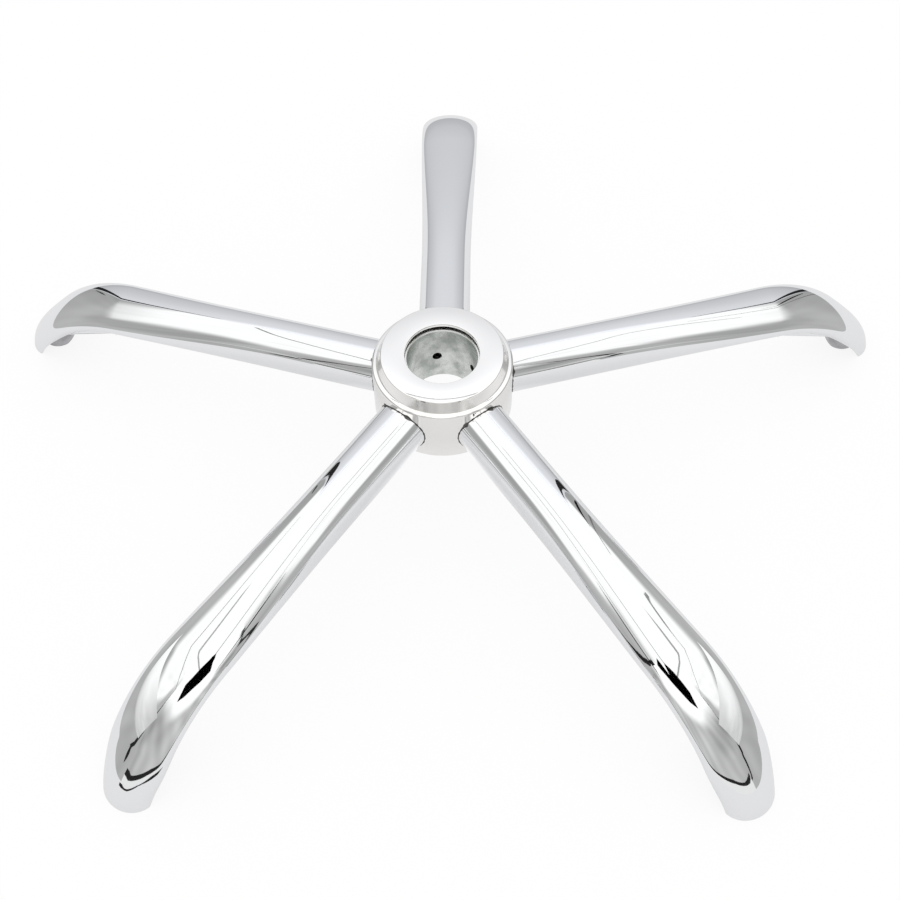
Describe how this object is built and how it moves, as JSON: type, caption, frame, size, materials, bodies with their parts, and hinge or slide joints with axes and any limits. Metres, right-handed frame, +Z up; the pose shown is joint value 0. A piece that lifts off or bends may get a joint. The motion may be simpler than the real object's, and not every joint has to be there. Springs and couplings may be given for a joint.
{
  "type": "swivel chair base",
  "caption": "Star base of a swivel chair in chromed steel: bent tube arms with hooded caster sockets, welded round a ring hub with a tapered column seat.",
  "frame": {"origin": "centre of the column hole on the hub's top face", "axes": "+Z up out of the hub, along the column; +Y along arm 1; +X completes the right-handed frame"},
  "size_m": [0.6791, 0.6478, 0.1098],
  "materials": {
    "chrome": "polished chrome plate on steel",
    "sleeve_steel": "satin, thin plating over a turned bore",
    "socket_steel": "turned and plated"
  },
  "bodies": {
    "root": {"hub_shell": "chrome", "taper_sleeve": "sleeve_steel", "hub_foot_ring": "chrome", "arm_tube_1": "chrome", "arm_tube_2": "chrome", "arm_tube_3": "chrome", "arm_tube_4": "chrome", "arm_tube_5": "chrome", "caster_socket_1": "socket_steel", "caster_socket_2": "socket_steel", "caster_socket_3": "socket_steel", "caster_socket_4": "socket_steel", "caster_socket_5": "socket_steel"}
  },
  "joints": []
}
